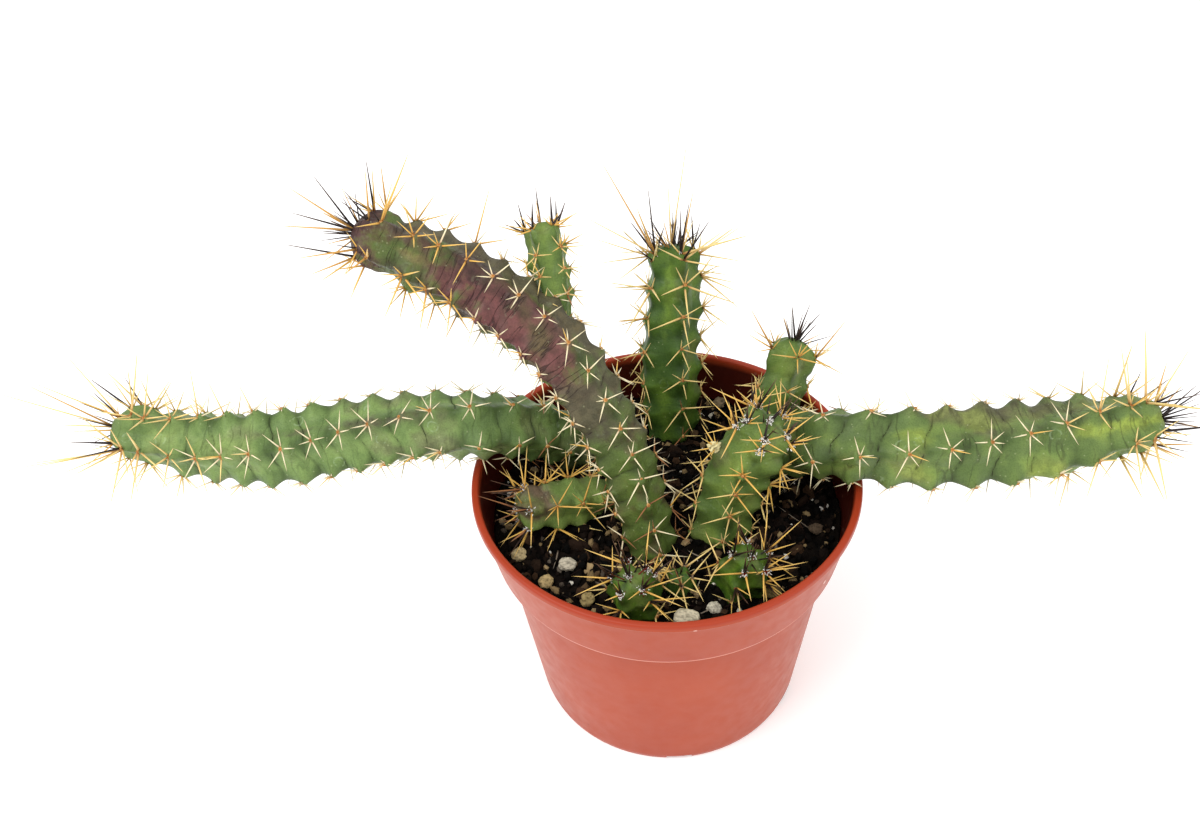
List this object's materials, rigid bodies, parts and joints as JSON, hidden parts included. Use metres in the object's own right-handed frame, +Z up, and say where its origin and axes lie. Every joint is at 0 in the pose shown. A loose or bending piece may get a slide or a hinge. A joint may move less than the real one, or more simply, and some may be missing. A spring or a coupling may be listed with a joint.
{
  "type": "potted lady finger cactus",
  "caption": "Lady finger cactus in a round terracotta-coloured plastic nursery pot: ribbed, spiny stems that stand, arch and sprawl over the rim, with gritty soil and loose stones.",
  "frame": {"origin": "on the pot's axis, at the underside of its central foot, on the surface it stands on", "axes": "+Z up along the pot's axis, +X to the right along the two long sprawling stems, +Y to the back"},
  "size_m": [0.331, 0.1192, 0.168],
  "materials": {
    "pot_plastic": "satin",
    "potting_soil": "matte",
    "pumice": "matte",
    "green_stem": "satin",
    "purple_stem": "satin"
  },
  "bodies": {
    "root": {"pot": "pot_plastic", "soil": "potting_soil", "stone_01": "pumice", "stone_02": "pumice", "stone_03": "pumice", "stone_04": "pumice", "stone_05": "pumice", "stone_06": "pumice", "stone_07": "pumice", "stone_08": "pumice", "stone_09": "pumice", "stone_10": "pumice", "stem_left_long": "green_stem", "stem_right_long": "green_stem", "stem_arching": "purple_stem", "stem_back_upright": "green_stem", "stem_back_right": "green_stem", "stem_centre_right": "green_stem", "stem_left_short": "green_stem", "stem_front_left": "green_stem", "stem_front_right": "green_stem", "stem_front_tiny": "green_stem"}
  },
  "joints": []
}
